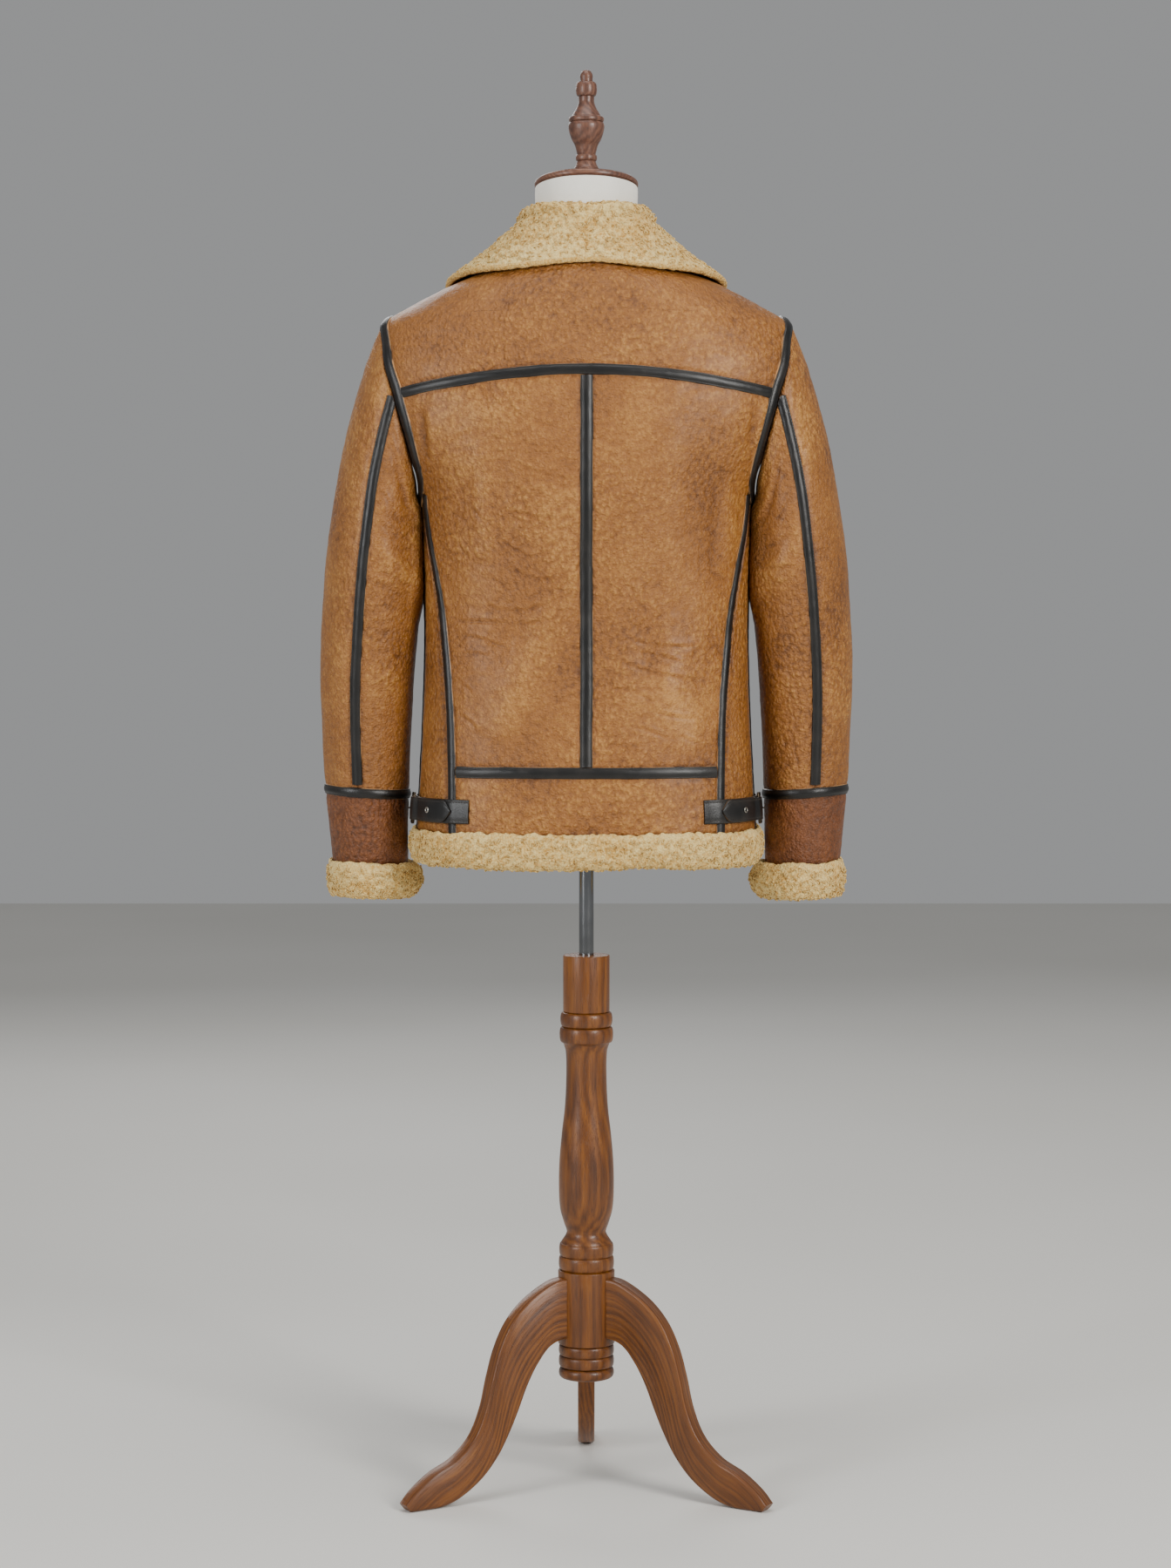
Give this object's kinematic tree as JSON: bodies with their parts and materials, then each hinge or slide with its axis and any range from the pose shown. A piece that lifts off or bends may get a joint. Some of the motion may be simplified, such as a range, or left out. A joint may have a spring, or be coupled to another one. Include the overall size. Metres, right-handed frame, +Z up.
{
  "type": "shearling coat on a limbless dress form with a tripod stand",
  "caption": "Tan shearling flight jacket with black bindings, wool collar, hem and cuffs and side straps, worn by a limbless dress form on a turned wooden tripod stand.",
  "frame": {"origin": "middle of the part's footprint on the floor, under the dress form; the stand's axis is 54 mm behind it", "axes": "+Z up, -Y to the front of the coat, +X to the wearer's left"},
  "size_m": [0.606, 0.366, 1.613],
  "materials": {
    "tan_leather": "tan pebbled sheepskin, semi-gloss, with clipped wool on its inner side",
    "black_leather": "black smooth leather, semi-gloss",
    "shearling": "cream curly wool, matte",
    "zip_tape": "black woven tape",
    "dark_metal": "darkened metal, satin",
    "form_cloth": "off-white jersey",
    "dark_wood": "dark varnished wood",
    "chrome": "polished chrome",
    "oak": "mid-brown varnished oak"
  },
  "bodies": {
    "stand": {"column": "oak", "leg_left": "oak", "leg_right": "oak", "leg_front": "oak"},
    "mast": {"pole": "chrome"},
    "figure": {"yoke": "tan_leather", "back_left": "tan_leather", "back_right": "tan_leather", "hem_band": "tan_leather", "side_left": "tan_leather", "side_right": "tan_leather", "front_left": "tan_leather", "front_right": "tan_leather", "top_sleeve_left": "tan_leather", "top_sleeve_right": "tan_leather", "under_sleeve_left": "tan_leather", "under_sleeve_right": "tan_leather", "cuff_band_left": "tan_leather", "cuff_band_right": "tan_leather", "yoke_binding": "black_leather", "centre_binding": "black_leather", "hem_binding": "black_leather", "princess_binding_left": "black_leather", "princess_binding_right": "black_leather", "side_binding_left": "black_leather", "side_binding_right": "black_leather", "armhole_binding_left": "black_leather", "armhole_binding_right": "black_leather", "sleeve_binding_left": "black_leather", "sleeve_binding_right": "black_leather", "cuff_binding_left": "black_leather", "cuff_binding_right": "black_leather", "front_binding_left": "black_leather", "front_binding_right": "black_leather", "hip_strap_left": "black_leather", "hip_strap_right": "black_leather", "strap_tongue_left": "black_leather", "strap_tongue_right": "black_leather", "collar": "shearling", "hem_wool": "shearling", "cuff_wool_left": "shearling", "cuff_wool_right": "shearling", "zip_tape_left": "zip_tape", "zip_tape_right": "zip_tape", "buckle_left": "dark_metal", "buckle_right": "dark_metal", "eyelet_left": "dark_metal", "eyelet_right": "dark_metal", "zip_slider": "dark_metal", "dress_form": "form_cloth", "neck_cap": "dark_wood", "finial": "dark_wood"},
    "pull": {"zip_pull": "dark_metal"}
  },
  "joints": [
    {"name": "height_slide", "type": "slide", "parent": "stand", "child": "mast", "axis": [0, 0, 1], "range_m": [-0.09, 0.2]},
    {"name": "form_turn", "type": "hinge", "parent": "mast", "child": "figure", "pos_m": [0, 0.054, 0.89], "axis": [0, 0, 1], "continuous": true},
    {"name": "pull_swing", "type": "hinge", "parent": "figure", "child": "pull", "pos_m": [0, -0.0662, 1.30748], "axis": [-1, 0, 0], "range_deg": [0, 150]}
  ]
}
